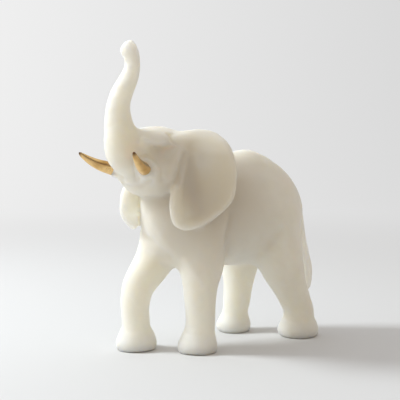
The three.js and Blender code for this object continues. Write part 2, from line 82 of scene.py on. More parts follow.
# %% [markdown]
# The camera stands where the photographer did: at about three quarters from the front, a little
# above the shoulders, with a long lens, so the four feet nearly line up and nothing looks stretched.
# A long lens further away is chosen over a short one near by, because the photograph's near and far
# legs are almost the same size.

# %% The camera
EYE = (695.1, -562.3, 200)
AIM = (25.3, -39.0, 125)
LENS = 95.6
eye, aim = place(*EYE), place(*AIM)
look = (aim - eye).normalized()
rightward = look.cross(UP).normalized()
choose_none()
bpy.ops.object.camera_add(location=eye, rotation=(aim - eye).to_track_quat("-Z", "Y").to_euler())
camera = bpy.context.object
camera.name = "photographer"
camera.data.lens = LENS
camera.data.sensor_width = 36
camera.data.dof.use_dof = False
bpy.context.scene.camera = camera
bpy.context.scene.view_settings.view_transform = "Standard"
print("camera", [round(c, 4) for c in eye], "looks", [round(c, 3) for c in look])

# %% [markdown]
# The floor and the wall behind are one seamless pale sweep, as on a photographer's paper roll. A
# plain plane would show a horizon. The floor is a disc. The wall starts as the same circle, drawn
# upwards and outwards a step at a time, so that every side has the same backdrop. It is only seen:
# it throws no shadow and no light on the stone, because the room light does that.

# %% The floor
FLOOR_RADIUS = 1.3
ROUND_POINTS = 96
choose_none()
bpy.ops.mesh.primitive_circle_add(vertices=ROUND_POINTS, radius=FLOOR_RADIUS, fill_type="NGON")
floor = bpy.context.object
floor.name = "paper_floor"
print("floor", floor.name)

# %% The wall
SWEEP = 0.7
SWEEP_STEPS = 12
WALL_RISE = 1.2
choose_none()
bpy.ops.mesh.primitive_circle_add(vertices=ROUND_POINTS, radius=FLOOR_RADIUS)
wall = bpy.context.object
wall.name = "paper_wall"
bpy.ops.object.mode_set(mode="EDIT")
bpy.ops.mesh.select_all(action="SELECT")
girth, level = FLOOR_RADIUS, 0.0
for step in range(1, SWEEP_STEPS + 1):
    turn = math.radians(90) * step / SWEEP_STEPS
    wider, higher = FLOOR_RADIUS + SWEEP * math.sin(turn), SWEEP - SWEEP * math.cos(turn)
    bpy.ops.mesh.extrude_region_move(TRANSFORM_OT_translate={"value": (0, 0, higher - level)})
    bpy.ops.transform.resize(value=(wider / girth, wider / girth, 1),
                             center_override=(0, 0, higher))
    girth, level = wider, higher
bpy.ops.mesh.extrude_region_move(TRANSFORM_OT_translate={"value": (0, 0, WALL_RISE)})
bpy.ops.mesh.select_all(action="SELECT")
bpy.ops.mesh.normals_make_consistent(inside=True)
bpy.ops.object.mode_set(mode="OBJECT")
bpy.ops.object.shade_smooth()
wall.visible_diffuse = False
wall.visible_shadow = False
print("wall", len(wall.data.polygons), "faces")

# %% [markdown]
# The paper is matt and almost white. Near the sculpture it only takes the lamp's light and shows
# the shadow. Further out it fades into an even glow, a little darker to the right, which stands for
# the lit wall of the studio.

# %% Helpers for materials
def node(tree, kind, **values):
    """A node with its settings and its input values."""
    made = tree.nodes.new(kind)
    for name, value in values.items():
        if name in made.inputs:
            made.inputs[name].default_value = value
        else:
            setattr(made, name, value)
    return made


def ranged(tree, low, high, start, end, smooth=True):
    """A node that turns the range low to high into start to end."""
    made = node(tree, "ShaderNodeMapRange", interpolation_type="SMOOTHSTEP" if smooth else "LINEAR")
    for socket, value in zip(("From Min", "From Max", "To Min", "To Max"), (low, high, start, end)):
        made.inputs[socket].default_value = value
    return made


def ramp(tree, low, low_colour, high, high_colour):
    """A node that runs from one colour to another between two positions."""
    made = node(tree, "ShaderNodeValToRGB")
    first, last = made.color_ramp.elements
    first.position, first.color = low, low_colour
    last.position, last.color = high, high_colour
    return made


def join(tree, *pairs):
    """Links each output to its input."""
    for start, end in pairs:
        tree.links.new(start, end)


print("material helpers ready")

# %% Paper
PAPER_WHITE = (0.705, 0.71, 0.72, 1)
GLOW_REACH = 0.6
GLOW_LEFT, GLOW_RIGHT = 0.875, 0.69
GLOW_FROM, GLOW_WHOLE = 0.35, 1.2
paper = bpy.data.materials.new("pale_paper")
paper.use_nodes = True
tree = paper.node_tree
sheet = tree.nodes["Principled BSDF"]
sheet.inputs["Base Color"].default_value = PAPER_WHITE
sheet.inputs["Roughness"].default_value = 0.95
sheet.inputs["Specular IOR Level"].default_value = 0.1
where = node(tree, "ShaderNodeTexCoord")
across = node(tree, "ShaderNodeVectorMath", operation="DOT_PRODUCT")
across.inputs[1].default_value = rightward
shade = ranged(tree, -GLOW_REACH, GLOW_REACH, GLOW_LEFT, GLOW_RIGHT, smooth=False)
glow = node(tree, "ShaderNodeEmission")
distance = node(tree, "ShaderNodeVectorMath", operation="LENGTH")
far = ranged(tree, GLOW_FROM, GLOW_WHOLE, 0, 1)
blend_in = node(tree, "ShaderNodeMixShader")
join(tree,
     (where.outputs["Object"], across.inputs[0]),
     (across.outputs["Value"], shade.inputs["Value"]),
     (shade.outputs["Result"], glow.inputs["Strength"]),
     (where.outputs["Object"], distance.inputs[0]),
     (distance.outputs["Value"], far.inputs["Value"]),
     (far.outputs["Result"], blend_in.inputs[0]),
     (sheet.outputs["BSDF"], blend_in.inputs[1]),
     (glow.outputs["Emission"], blend_in.inputs[2]),
     (blend_in.outputs["Shader"], tree.nodes["Material Output"].inputs["Surface"]))
for part in (floor, wall):
    part.data.materials.append(paper)
print("paper", paper.name)

# %% [markdown]
# The light is one soft lamp high on the photograph's left, and a little behind the elephant, because
# the side that we see is in shade and the shadows run to the right and slightly forwards. The pale
# room fills the shade. It is brightest above, a little to the left and behind, and dim and warm
# below, as a pale floor lights a thing from under it.

# %% Lamp
LAMP_LEFT, LAMP_ABOVE, LAMP_BEHIND = 1.06, 0.9, 0.12
LAMP_SIZE = 0.4
LAMP_POWER = 15.8
LAMP_COLOUR = (0.925, 0.98, 1.0)
lamp_place = aim - rightward * LAMP_LEFT + UP * LAMP_ABOVE + look * LAMP_BEHIND
choose_none()
bpy.ops.object.light_add(type="AREA", location=lamp_place,
                         rotation=(aim - lamp_place).to_track_quat("-Z", "Y").to_euler())
lamp = bpy.context.object
lamp.name = "soft_lamp"
lamp.data.shape = "DISK"
lamp.data.size = LAMP_SIZE
lamp.data.energy = LAMP_POWER
lamp.data.color = LAMP_COLOUR
lamp.visible_camera = False
print("lamp", [round(c, 3) for c in lamp_place])

# %% Room light
ROOM_DIM, ROOM_BRIGHT = 0.12, 0.81
ROOM_WARM, ROOM_COOL = (1.0, 0.75, 0.46, 1), (0.975, 0.985, 1.0, 1)
room = bpy.data.worlds.new("pale_room")
room.use_nodes = True
tree = room.node_tree
bright_side = (UP * 0.85 + look * 0.2 - rightward * 0.2).normalized()
direction = node(tree, "ShaderNodeTexCoord")
turned = node(tree, "ShaderNodeVectorMath", operation="DOT_PRODUCT")
turned.inputs[1].default_value = bright_side
strength = ranged(tree, -0.6, 1.0, ROOM_DIM, ROOM_BRIGHT)
warmth = ramp(tree, 0.1, ROOM_WARM, 0.7, ROOM_COOL)
join(tree,
     (direction.outputs["Generated"], turned.inputs[0]),
     (turned.outputs["Value"], strength.inputs["Value"]),
     (strength.outputs["Result"], tree.nodes["Background"].inputs["Strength"]),
     (turned.outputs["Value"], warmth.inputs["Fac"]),
     (warmth.outputs["Color"], tree.nodes["Background"].inputs["Color"]))
bpy.context.scene.world = room
print("bright side", [round(c, 3) for c in bright_side])

# %% [markdown]
# Carving in code means moving points by their distance to a place or to a line. A few small tools do
# all of it: how near each point is to a line, a soft swell or dent that fades with that distance,
# and a smooth step between two values. The points and their outward directions are arrays, because
# a stone of ninety thousand points is slow to carve one at a time. A cut is written as a row: how
# high it stands in millimetres, less than 0 for a hollow, where it is, and how wide it is.

# %% The carver's tools
def ease(low, high, value):
    """0 below low, 1 above high, and smooth between. With low above high it falls instead."""
    t = np.clip((value - low) / (high - low), 0, 1)
    return t * t * (3 - 2 * t)


def band(value, middle, width):
    """1 in the middle, falling softly to 0 about two widths away."""
    return np.exp(-((value - middle) / width) ** 2)


def near_line(points, line):
    """How far each point is from a line, and how far along it the nearest place is, 0 to 1."""
    line = np.array(line, float)
    best = np.full(len(points), np.inf)
    along = np.zeros(len(points))
    for i in range(len(line) - 1):
        side = line[i + 1] - line[i]
        t = np.clip((points - line[i]) @ side / max(side @ side, 1e-9), 0, 1)
        gap = np.linalg.norm(points - line[i] - t[:, None] * side, axis=1)
        closer = gap < best
        best[closer] = gap[closer]
        along[closer] = (i + t[closer]) / (len(line) - 1)
    return best, along


def stroke(points, line, width, fade):
    """A band along a line, faded out over a share of its length at each end."""
    gap, along = near_line(points, line)
    ends = ease(0, fade, along) * ease(0, fade, 1 - along) if fade else 1
    return band(gap, 0, width) * ends


def spot(points, centre, width):
    """1 at a place, falling softly to 0 about two widths away."""
    return band(np.linalg.norm(points - np.array(centre, float), axis=1), 0, width)


def relief(points, strokes=(), spots=()):
    """The lift of rows of strokes (lift, line, width, fade) and of spots (lift, centre, width)."""
    lift = np.zeros(len(points))
    for rise, line, width, fade in strokes:
        lift += rise * stroke(points, line, width, fade)
    for rise, centre, width in spots:
        lift += rise * spot(points, centre, width)
    return lift


def moved(line, dx=0, dy=0, dz=0):
    """The same line somewhere else."""
    return [(x + dx, y + dy, z + dz) for x, y, z in line]


print("tools ready")

# %% [markdown]
# The head is turned a few degrees to its left and tipped a little. Its two sides are alike, so it is
# carved in its own upright frame with the left and right sides folded together.

# %% The head's own frame
HEAD_PIVOT = np.array([0, -68, 158.0])
HEAD_YAW = math.radians(4.7)
HEAD_ROLL = math.radians(2)
head_turn = np.array((Matrix.Rotation(HEAD_YAW, 3, "Z") @ Matrix.Rotation(-HEAD_ROLL, 3, "Y")))
TUSK_BASE = np.array([21, -93.5, 151.0])
TUSK_TIP = np.array([34.5, -115, 164.5])
tusk_way = (TUSK_TIP - TUSK_BASE) / np.linalg.norm(TUSK_TIP - TUSK_BASE)


def upright(points):
    """Points as set out, in the head's upright frame."""
    return (points - HEAD_PIVOT) @ head_turn + HEAD_PIVOT


def folded(points):
    """Points as set out, in the upright frame with the head's right side folded onto its left."""
    x, y, z = upright(points).T
    return np.column_stack([np.abs(x), y, z])


def on_tusk(along, side):
    """A place on a tusk's axis, so far from the cheek. The side is 1 for left and -1 for right."""
    return head_turn @ ((TUSK_BASE + tusk_way * along) * (side, 1, 1) - HEAD_PIVOT) + HEAD_PIVOT


print("tusk leans", [round(float(c), 3) for c in tusk_way])

# %% [markdown]
# The stone starts as a copy of its solid. The solid's triangles are loose, so the copy's points are
# merged first. Its facets are about 5 mm wide, which would show on a polished stone: subdivision
# rounds them, and a voxel remesh then gives an even skin of little squares. At 1.21 mm they are
# small enough to carve, and the stone stays under 200,000 triangles. The sockets of the tusks are
# filled with short plugs before that, because the real horns are set tight in the stone.

# %% The rough stone
MERGE_GAP = 0.00001
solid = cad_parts["elephant_body"]
choose(solid)
bpy.ops.object.duplicate()
stone = bpy.context.object
stone.name = "carved_stone"
for key in list(stone.keys()):
    del stone[key]
stone.parent = None
stone.data.materials.clear()
bpy.ops.object.mode_set(mode="EDIT")
bpy.ops.mesh.select_all(action="SELECT")
bpy.ops.mesh.remove_doubles(threshold=MERGE_GAP)
bpy.ops.mesh.normals_make_consistent(inside=False)
bpy.ops.object.mode_set(mode="OBJECT")
rounding = stone.modifiers.new("rounding", "SUBSURF")
rounding.levels = 1
rounding.render_levels = 1
bpy.ops.object.modifier_apply(modifier="rounding")
print("rough stone", len(stone.data.polygons), "faces")

# %% The plugs and the skin
PLUG_RADIUS = 6.4
PLUG_FROM, PLUG_TO = -10.5, -0.4
SKIN_GRAIN = 1.21
plugs = []
for side in (1, -1):
    low, high = on_tusk(PLUG_FROM, side), on_tusk(PLUG_TO, side)
    way = Vector(high - low)
    choose_none()
    bpy.ops.mesh.primitive_cylinder_add(vertices=48, radius=PLUG_RADIUS * MM, depth=way.length * MM,
                                        location=place(*((low + high) / 2)),
                                        rotation=way.to_track_quat("Z", "Y").to_euler())
    plugs.append(bpy.context.object)
choose(stone)
for plug in plugs:
    plug.select_set(True)
bpy.ops.object.join()
stone = bpy.context.object
skin = stone.modifiers.new("skin", "REMESH")
skin.mode = "VOXEL"
skin.voxel_size = SKIN_GRAIN * MM
bpy.ops.object.modifier_apply(modifier="skin")
print("skin", len(stone.data.vertices), "points")

# %% [markdown]
# A remeshed skin still has small steps, so it is rubbed down a few times before it is carved, and
# once more at the end.

# %% Rubbing down
def rub(thing, times):
    """Smooths the whole skin, as rubbing with fine paper does."""
    choose(thing)
    fine_paper = thing.modifiers.new("rub", "SMOOTH")
    fine_paper.factor = 0.5
    fine_paper.iterations = times
    bpy.ops.object.modifier_apply(modifier="rub")


rub(stone, 5)
print("rubbed", stone.name)

# %% Reading and moving the skin
def skin_of(thing):
    """The points in millimetres as set out, and their outward directions."""
    count = len(thing.data.vertices)
    points = np.empty(count * 3, np.float32)
    thing.data.vertices.foreach_get("co", points)
    outward = np.empty(count * 3, np.float32)
    thing.data.vertices.foreach_get("normal", outward)
    return points.reshape(-1, 3).astype(float) / MM - STANCE, outward.reshape(-1, 3).astype(float)


def carve(thing, lift, way=None):
    """Moves each point by its lift in millimetres, outwards or in a given direction."""
    points, normals = skin_of(thing)
    points += lift[:, None] * (normals if way is None else np.array(way, float))
    points[:, 2] = np.maximum(points[:, 2], 0)
    thing.data.vertices.foreach_set("co", ((points + STANCE) * MM).astype(np.float32).ravel())
    thing.data.update()
    print("carved", f"{lift.min():.2f} to {lift.max():.2f} mm")


print("stone", len(stone.data.vertices), "points")

# %% [markdown]
# The brow is the crispest edge of the head: a pale flat forehead stops at it, and the eye lies in
# the shade below. It is raised along its line, and the hollow under it and the temple behind it are
# taken down, which makes the edge look sharp without a hard corner.

# %% Brow, eye hollow and temple
BROW = [(13, -91.5, 175.4), (18.6, -89.3, 173.3), (21.2, -85.5, 171.6), (23.0, -80.9, 170.7),
        (24.8, -76.7, 171.4), (24.8, -73.0, 172.8)]
BROW_END = [(24.8, -73.0, 172.8), (22.4, -70.3, 175.0), (18.7, -69.0, 177.2), (13.8, -67.4, 179.8)]
UNDER_BROW = [(17.6, -89.3, 169.3), (20.7, -85.0, 167.8), (22.7, -80.0, 166.9), (24.6, -75.0, 167.0),
              (26.6, -69.5, 167.8), (28.4, -64.5, 168.4)]
BEHIND_BROW = moved(BROW_END, dx=0.5, dy=5.4, dz=-1.0)
brow_strokes = [(1.5, BROW, 1.9, 0.15), (0.9, BROW_END, 2.0, 0.1), (-2.4, UNDER_BROW, 3.6, 0.25),
                (-2.3, BEHIND_BROW, 3.2, 0.1)]
eye_and_temple = [(-1.3, (22.6, -78.5, 161.5), 6.5), (-1.2, (27.0, -65.0, 168.5), 5.0),
                  (-2.2, (25.5, -61.5, 172.0), 4.6)]
carve(stone, relief(folded(skin_of(stone)[0]), brow_strokes, eye_and_temple))

# %% [markdown]
# The cheek overlaps the front of the ear, so a soft crease runs down between them, and the lip is a
# low roll round the front of the jaw under the trunk.

# %% Cheek crease and lips
CREASE = [(33.2, -73.0, 135.5), (31.6, -68.7, 143.1), (32.2, -65.3, 150.8), (31.3, -61.7, 159.2),
          (31.6, -58.0, 166.0)]
UNDER_JAW = [(0, -81.0, 127.0), (5.5, -78.0, 126.0), (11.2, -74.5, 125.4), (17.0, -71.0, 126.1),
             (24.0, -68.5, 129.0), (31.0, -68.0, 133.5)]
LIP = [(0, -91.4, 139.6), (8.7, -90.6, 140.6), (14.5, -91.0, 143.0), (20.5, -89.5, 145.0)]
cheek_strokes = [(-1.9, CREASE, 2.8, 0.2), (0.9, moved(CREASE, dx=-2.0, dy=-6.5), 4.5, 0.2),
                 (0.9, LIP, 1.7, 0), (-1.1, moved(LIP, dy=1.0, dz=-3.6), 1.9, 0),
                 (-2.2, UNDER_JAW, 4.0, 0.2)]
carve(stone, relief(folded(skin_of(stone)[0]), cheek_strokes))

# %% [markdown]
# Round each tusk the stone is left standing as a low collar, like the sleeve of skin on the animal,
# with a dip round it. On the head's right side the stone is dished towards the tusk, because the
# photograph shows that tusk's root from behind the trunk.

# %% Tusk collars
COLLAR = (0.9, 7.9, 1.6)
DIP = (-0.9, 11.4, 1.5)
DISH = (-1.7, 4.0, 5.5)
points, _ = skin_of(stone)
reach = folded(points) - TUSK_BASE
along_tusk = reach @ tusk_way
from_tusk = np.linalg.norm(reach - along_tusk[:, None] * tusk_way, axis=1)
near_base = ease(14, 9, np.abs(along_tusk + 1))
on_right = upright(points)[:, 0] < 0
lift = np.zeros(len(points))
for (rise, radius, width), mask in ((COLLAR, 1), (DIP, 1), (DISH, on_right)):
    lift += rise * band(from_tusk, radius, width) * near_base * mask
carve(stone, lift)

# %% [markdown]
# Each ear is a leaf with a thicker rim. The leaf's own flat coordinates tell how far a point is from
# its edge: how far back from the root it lies, how high, and how far out of the leaf's plane. The
# right ear is tipped forwards and hangs lower, so its coordinates are turned to match. Every limit
# of an ease below is in these millimetres.

# %% The ear's own coordinates
EAR_ROOT = np.array([28, -67, 150.0])
EAR_SPREAD = math.radians(32)
RIGHT_EAR_TIP = math.radians(8)
RIGHT_EAR_AHEAD = 7.0
RIGHT_EAR_DROP = 4.0
EAR_OUTLINE = [(0, 22), (9, 29.5), (25, 31.5), (40, 25.5), (47.5, 8), (48.5, -9), (45, -26),
               (34.5, -37), (18, -46.5), (3.5, -49), (-5, -43), (-8, -31), (-5.5, -17), (2, 0)]


def rounded(outline, times=2):
    """A closed outline with its corners cut a few times over."""
    for _ in range(times):
        ahead = np.roll(outline, -1, axis=0)
        outline = np.stack([0.75 * outline + 0.25 * ahead, 0.25 * outline + 0.75 * ahead], 1)
        outline = outline.reshape(-1, 2)
    return outline


def inside_edge(flat, outline):
    """How far inside a closed outline each flat point is, negative outside."""
    best = np.full(len(flat), np.inf)
    within = np.zeros(len(flat), bool)
    for a, b in zip(outline, np.roll(outline, -1, axis=0)):
        side = b - a
        t = np.clip((flat - a) @ side / (side @ side), 0, 1)
        best = np.minimum(best, np.linalg.norm(flat - a - t[:, None] * side, axis=1))
        spans = (a[1] > flat[:, 1]) != (b[1] > flat[:, 1])
        if side[1] != 0:
            within ^= spans & (flat[:, 0] < side[0] * (flat[:, 1] - a[1]) / side[1] + a[0])
    return np.where(within, best, -best)


points, normals = skin_of(stone)
sideways = upright(points)[:, 0]
on_right = sideways < 0
head_points = folded(points)
head_normals = normals @ head_turn
head_normals[:, 0] *= np.sign(sideways)
from_root = head_points - EAR_ROOT
spread_sin, spread_cos = math.sin(EAR_SPREAD), math.cos(EAR_SPREAD)
along = from_root[:, 0] * spread_sin + from_root[:, 1] * spread_cos + RIGHT_EAR_AHEAD * on_right
height = from_root[:, 2] + RIGHT_EAR_DROP * on_right
tip = RIGHT_EAR_TIP * on_right
back = along * np.cos(tip) + height * np.sin(tip)
level = height * np.cos(tip) - along * np.sin(tip)
out = from_root[:, 0] * spread_cos - from_root[:, 1] * spread_sin
facing = head_normals[:, 0] * spread_cos - head_normals[:, 1] * spread_sin
edge = inside_edge(np.column_stack([back, level]), rounded(np.array(EAR_OUTLINE, float)))
leaf = ease(-14, -8, out) * ease(20, 14, np.abs(out))
print("points inside the ears' outlines", int(((edge > 0) & (leaf > 0.5)).sum()))

# %% [markdown]
# The face of the ear is hollowed inside the rim, most at the front and below the top fold, and
# cupped where it leaves the cheek. The rim is left proud at the front of the lobe.

# %% Ear faces
HOLLOW_DEPTH = 2.1
REAR_SHARE = 0.65
CUP_DEPTH, CUP_PLACE, CUP_WIDTH = 2.2, (37.5, -50, 155), 11
RIM_HEIGHT, RIM_INSIDE, RIM_WIDTH = 0.6, 2.4, 2.2
face = ease(0.1, 0.5, facing) * leaf
hollow = ease(3, 11, edge) * ease(1, 6, back) * ease(30, 15, level)
hollow *= 1 - REAR_SHARE * ease(12, 34, back)
rim = band(edge, RIM_INSIDE, RIM_WIDTH) * ease(-4, 2, edge) * ease(-28, -38, level - 0.4 * back)
cup = spot(head_points, CUP_PLACE, CUP_WIDTH)
carve(stone, face * (RIM_HEIGHT * rim - HOLLOW_DEPTH * hollow - CUP_DEPTH * cup))

# %% [markdown]
# The right ear's lobe is seen past the jaw, nearly edge on. It is turned a little more edge on by
# bringing its front in and its back out, its tip is cut shorter, and it is made narrower. Points of
# the body behind the leaf stay where they are.

# %% The right ear's lobe
LOBE_IN, LOBE_TURN = 2.2, 4.4
LOBE_SHORTER = 3.6
FRONT_NARROWER, REAR_NARROWER = 2.5, 6.0
behind_leaf = ease(-5, -8, out) * ease(0, 0.3, facing)
lobe = on_right * leaf * ease(-5, -1, edge) * (1 - behind_leaf)
inwards = head_turn @ np.array([spread_cos, spread_sin, 0])
backwards = head_turn @ np.array([-spread_sin, spread_cos, 0])
carve(stone, (LOBE_IN - LOBE_TURN * ease(4, 34, back)) * lobe * ease(-4, -26, level), way=inwards)
lobe_tip = np.exp(-(((back - 22) / 12) ** 2 + ((level + 50) / 15) ** 2))
carve(stone, LOBE_SHORTER * lobe * lobe_tip, way=UP)
narrower = (FRONT_NARROWER * ease(10, -6, back) * ease(-28, -44, level)
            - REAR_NARROWER * ease(6, 40, back) * ease(-10, -34, level))
carve(stone, lobe * narrower, way=backwards)

# %% [markdown]
# The trunk has low folds across its front, closer together towards the tip: each is a fine cut with
# a soft roll after it. They fade round the sides, because the back of a raised trunk is pressed
# smooth. The tip has a shallow dent under its lip.

# %% Trunk folds
TRUNK = [(0, -92.5, 161.5), (0, -97, 169.5), (0, -98.5, 178), (0, -100.5, 190.9), (0, -100.5, 200),
         (0, -98, 210), (0, -93, 219), (0, -88.8, 227.5), (0, -87.4, 234), (0, -88.3, 240)]
TRUNK_LENGTH = 86
FOLDS = [0.16, 0.27, 0.37, 0.46, 0.535, 0.60, 0.665, 0.73, 0.79, 0.85]
FOLD_DEPTH, DEPTH_CHANGE, FOLD_WIDTH = 0.26, 0.1, 1.5
ROLL_HEIGHT, ROLL_AFTER, ROLL_WIDTH = 0.16, 2.9, 1.9
TIP_SPOTS = [(-1.0, (-3, -94.5, 236), 3.6), (0.5, (-1, -95.5, 243), 3.0)]
points, normals = skin_of(stone)
gap, along = near_line(points, TRUNK)
front = ease(-0.35, 0.55, -normals[:, 1]) * ease(19, 15, gap)
lift = np.zeros(len(points))
for i, fold in enumerate(FOLDS):
    slant = 0.006 * math.sin(2.1 * i) * points[:, 0]
    away = (along - fold - slant) * TRUNK_LENGTH
    lift -= (FOLD_DEPTH + DEPTH_CHANGE * math.sin(1.7 * i)) * band(away, 0, FOLD_WIDTH)
    lift += ROLL_HEIGHT * band(away, ROLL_AFTER, ROLL_WIDTH)
lift *= front * ease(0.05, 0.14, along) * ease(0.98, 0.9, along)
carve(stone, lift + relief(points, spots=TIP_SPOTS))

# %% [markdown]
# The body's muscles are shallow: a shoulder blade, a hollow behind the elbow, a breastbone between
# the forelegs and the hollow of the flank before the thigh. Each is a broad stroke. The rows for the
# right side are carved mirrored.

# %% Shoulders, chest and flanks
SHOULDER = [(36, -12, 118.6), (36.6, -16.0, 110), (37.1, -19.5, 100.4), (36.2, -20.8, 90.7),
            (32.2, -17.0, 83.4), (24, -9, 77)]
CHEST_HOLLOW = [(-19.8, -64.4, 93.0), (-10.5, -65.9, 92.0), (-2.5, -65.7, 89.5), (1.3, -63.4, 84.8),
                (5.3, -60.3, 80.9), (9.1, -57.1, 78.2), (13.2, -55.1, 77.3)]
CHEST_RIDGE = [(-2.4, -72.6, 115), (2.0, -71.7, 110.7), (6.2, -69.8, 104.4), (9.7, -67.5, 98.9),
               (12.2, -63.3, 90.8), (14.2, -58.9, 84.2), (17.0, -54.9, 79.3)]
LEG_EDGE = [(17.0, -54.9, 79.3), (22.4, -52.0, 75.6), (26.4, -50.0, 71.0), (30.3, -47.0, 65.2),
            (33.0, -43.0, 59.1), (33.9, -36.5, 50.4), (32.2, -30.0, 43.7)]
FLANK = [(40.9, 40.4, 101.5), (40.2, 35.5, 95.1), (38.4, 31.5, 88.5), (34.8, 28.1, 81.6),
         (30.7, 27.2, 74.5)]
left_strokes = [(-2.0, SHOULDER, 4.0, 0.3), (1.0, moved(SHOULDER, dy=-10), 7.0, 0.3),
                (-1.5, CHEST_HOLLOW, 4.2, 0.2), (0.7, CHEST_RIDGE, 4.6, 0.3),
                (1.1, LEG_EDGE, 3.2, 0.2), (-0.9, moved(LEG_EDGE, dx=4, dy=7, dz=3), 5.0, 0.2),
                (-2.2, FLANK, 6.0, 0.3)]
right_strokes = [(-1.3, moved(SHOULDER, dy=-9), 3.6, 0.3), (0.8, moved(SHOULDER, dy=-20), 7.0, 0.3),
                 (-2.2, FLANK, 6.0, 0.3)]
points, _ = skin_of(stone)
carve(stone, relief(points, left_strokes) + relief(points * (-1, 1, 1), right_strokes))

# %% [markdown]
# Each leg is slimmed above the foot, most at the back, with a faint crease where it meets the foot.
# The toes swell a little, most at the front, and the sole is drawn in under them. A row gives the
# foot's middle, the ankle's height, the leg's reach and how much it is slimmed.

# %% Ankles
ANKLES = [(20, -36, 17, 15.5, 0.4), (-19.8, -70, 18, 13.5, 1.5), (24.8, 72, 15.5, 15.5, 1.4),
          (-25, 40.5, 16, 14.5, 1.4)]
CREASE_DEPTH, CREASE_WIDTH, CREASE_WAVE = 0.38, 0.9, 1.2
TOE_SWELL, TOE_LEVEL, TOE_WIDTH = 1.0, 6.0, 3.8
SOLE_CUT, SOLE_WIDTH = 0.6, 1.7
SLIM_ABOVE, SLIM_WIDTH = 1.5, 5.5
points, normals = skin_of(stone)
x, y, z = points.T
forwards, sheer = -normals[:, 1], np.hypot(normals[:, 0], normals[:, 1])
crease_share = 0.45 + 0.55 * ease(-0.2, 0.8, forwards)
toe_share = 0.5 + 0.5 * ease(-0.2, 0.8, forwards)
slim_share = 0.7 + 0.5 * ease(-0.2, 0.6, -forwards)
lift = np.zeros(len(points))
for foot_x, foot_y, height, girth, slim in ANKLES:
    on_leg = np.hypot(x - foot_x, y - foot_y) < girth + 5
    crease = height + CREASE_WAVE * np.sin(np.arctan2(x - foot_x, y - foot_y) * 2)
    lift -= CREASE_DEPTH * on_leg * crease_share * band(z, crease, CREASE_WIDTH)
    lift += TOE_SWELL * on_leg * sheer * toe_share * band(z, TOE_LEVEL, TOE_WIDTH)
    lift -= SOLE_CUT * on_leg * sheer * band(z, 0, SOLE_WIDTH)
    lift -= slim * on_leg * slim_share * band(z, height + SLIM_ABOVE, SLIM_WIDTH)
carve(stone, lift)

# %% [markdown]
# The last rub takes the tool marks off. It also pulls the rims of the soles up, so the lowest few
# millimetres are pressed back down towards the floor.

# %% Last rub
SOLE_EDGE = 3.5
rub(stone, 3)
low = np.clip(skin_of(stone)[0][:, 2], 0, SOLE_EDGE)
carve(stone, low * low / SOLE_EDGE - low, way=UP)
choose(stone)
bpy.ops.object.shade_smooth()
print("stone", len(stone.data.polygons), "faces, lowest", round(skin_of(stone)[0][:, 2].min(), 3))

# %% [markdown]
# Quartz scatters light under its skin: the lit side glows and the shade turns warm, because blue is
# lost first on the way through. So all of the colour is subsurface, with red reaching furthest. The
# tint is cloudy, from cream to almost white. Round a place behind the left ear the tint is painted
# darker and browner, as painted shade on the shaded side of the head, ear and neck. The thin ends
# far from that place are a little clearer.

# %% Quartz
CLOUD_CREAM, CLOUD_WHITE = (0.825, 0.803, 0.725, 1), (0.868, 0.85, 0.78, 1)
# Painted shade: the tint turns darker and browner towards this place, for the shaded side of the
# head.
SHADE_CENTRE = place(30, -34, 133)
PAINTED_SHADE_BROWN = (0.665, 0.61, 0.515, 1)
SHADE_FROM, SHADE_TO = 0.012, 0.08
CLEAR_FROM, CLEAR_TO = 0.058, 0.1
SCATTER_HEART, SCATTER_ENDS = 0.018, 0.028
SCATTER_COLOUR = (1.0, 0.92, 0.76)
quartz = bpy.data.materials.new("cloudy_quartz")
quartz.use_nodes = True
tree = quartz.node_tree
surface = tree.nodes["Principled BSDF"]
where = node(tree, "ShaderNodeTexCoord")
clouds = node(tree, "ShaderNodeTexNoise", Scale=38.0, Detail=4.0, Roughness=0.55, Distortion=0.6)
tint = ramp(tree, 0.35, CLOUD_CREAM, 0.68, CLOUD_WHITE)
from_shade_centre = node(tree, "ShaderNodeVectorMath", operation="DISTANCE")
from_shade_centre.inputs[1].default_value = SHADE_CENTRE
depth = ranged(tree, SHADE_FROM, SHADE_TO, 0, 1)
# Painted shade: the cloudy tint is mixed towards the brown near that place.
shade_to_cloud = node(tree, "ShaderNodeMix", data_type="RGBA")
shade_to_cloud.inputs[6].default_value = PAINTED_SHADE_BROWN
clarity = ranged(tree, CLEAR_FROM, CLEAR_TO, SCATTER_HEART, SCATTER_ENDS)
join(tree,
     (where.outputs["Object"], clouds.inputs["Vector"]),
     (clouds.outputs["Fac"], tint.inputs["Fac"]),
     (tint.outputs["Color"], shade_to_cloud.inputs[7]),
     (where.outputs["Object"], from_shade_centre.inputs[0]),
     (from_shade_centre.outputs["Value"], depth.inputs["Value"]),
     (depth.outputs["Result"], shade_to_cloud.inputs[0]),
     (shade_to_cloud.outputs[2], surface.inputs["Base Color"]),
     (from_shade_centre.outputs["Value"], clarity.inputs["Value"]),
     (clarity.outputs["Result"], surface.inputs["Subsurface Scale"]))
surface.inputs["Subsurface Weight"].default_value = 1.0
surface.inputs["Subsurface Radius"].default_value = SCATTER_COLOUR
surface.inputs["IOR"].default_value = 1.5
surface.inputs["Specular IOR Level"].default_value = 0.22
print("quartz tint ready")

# %% [markdown]
# The polish is uneven by a hair: a very fine grain and a slower wave make a low bump, and the wave
# also changes how sharply the skin shines.

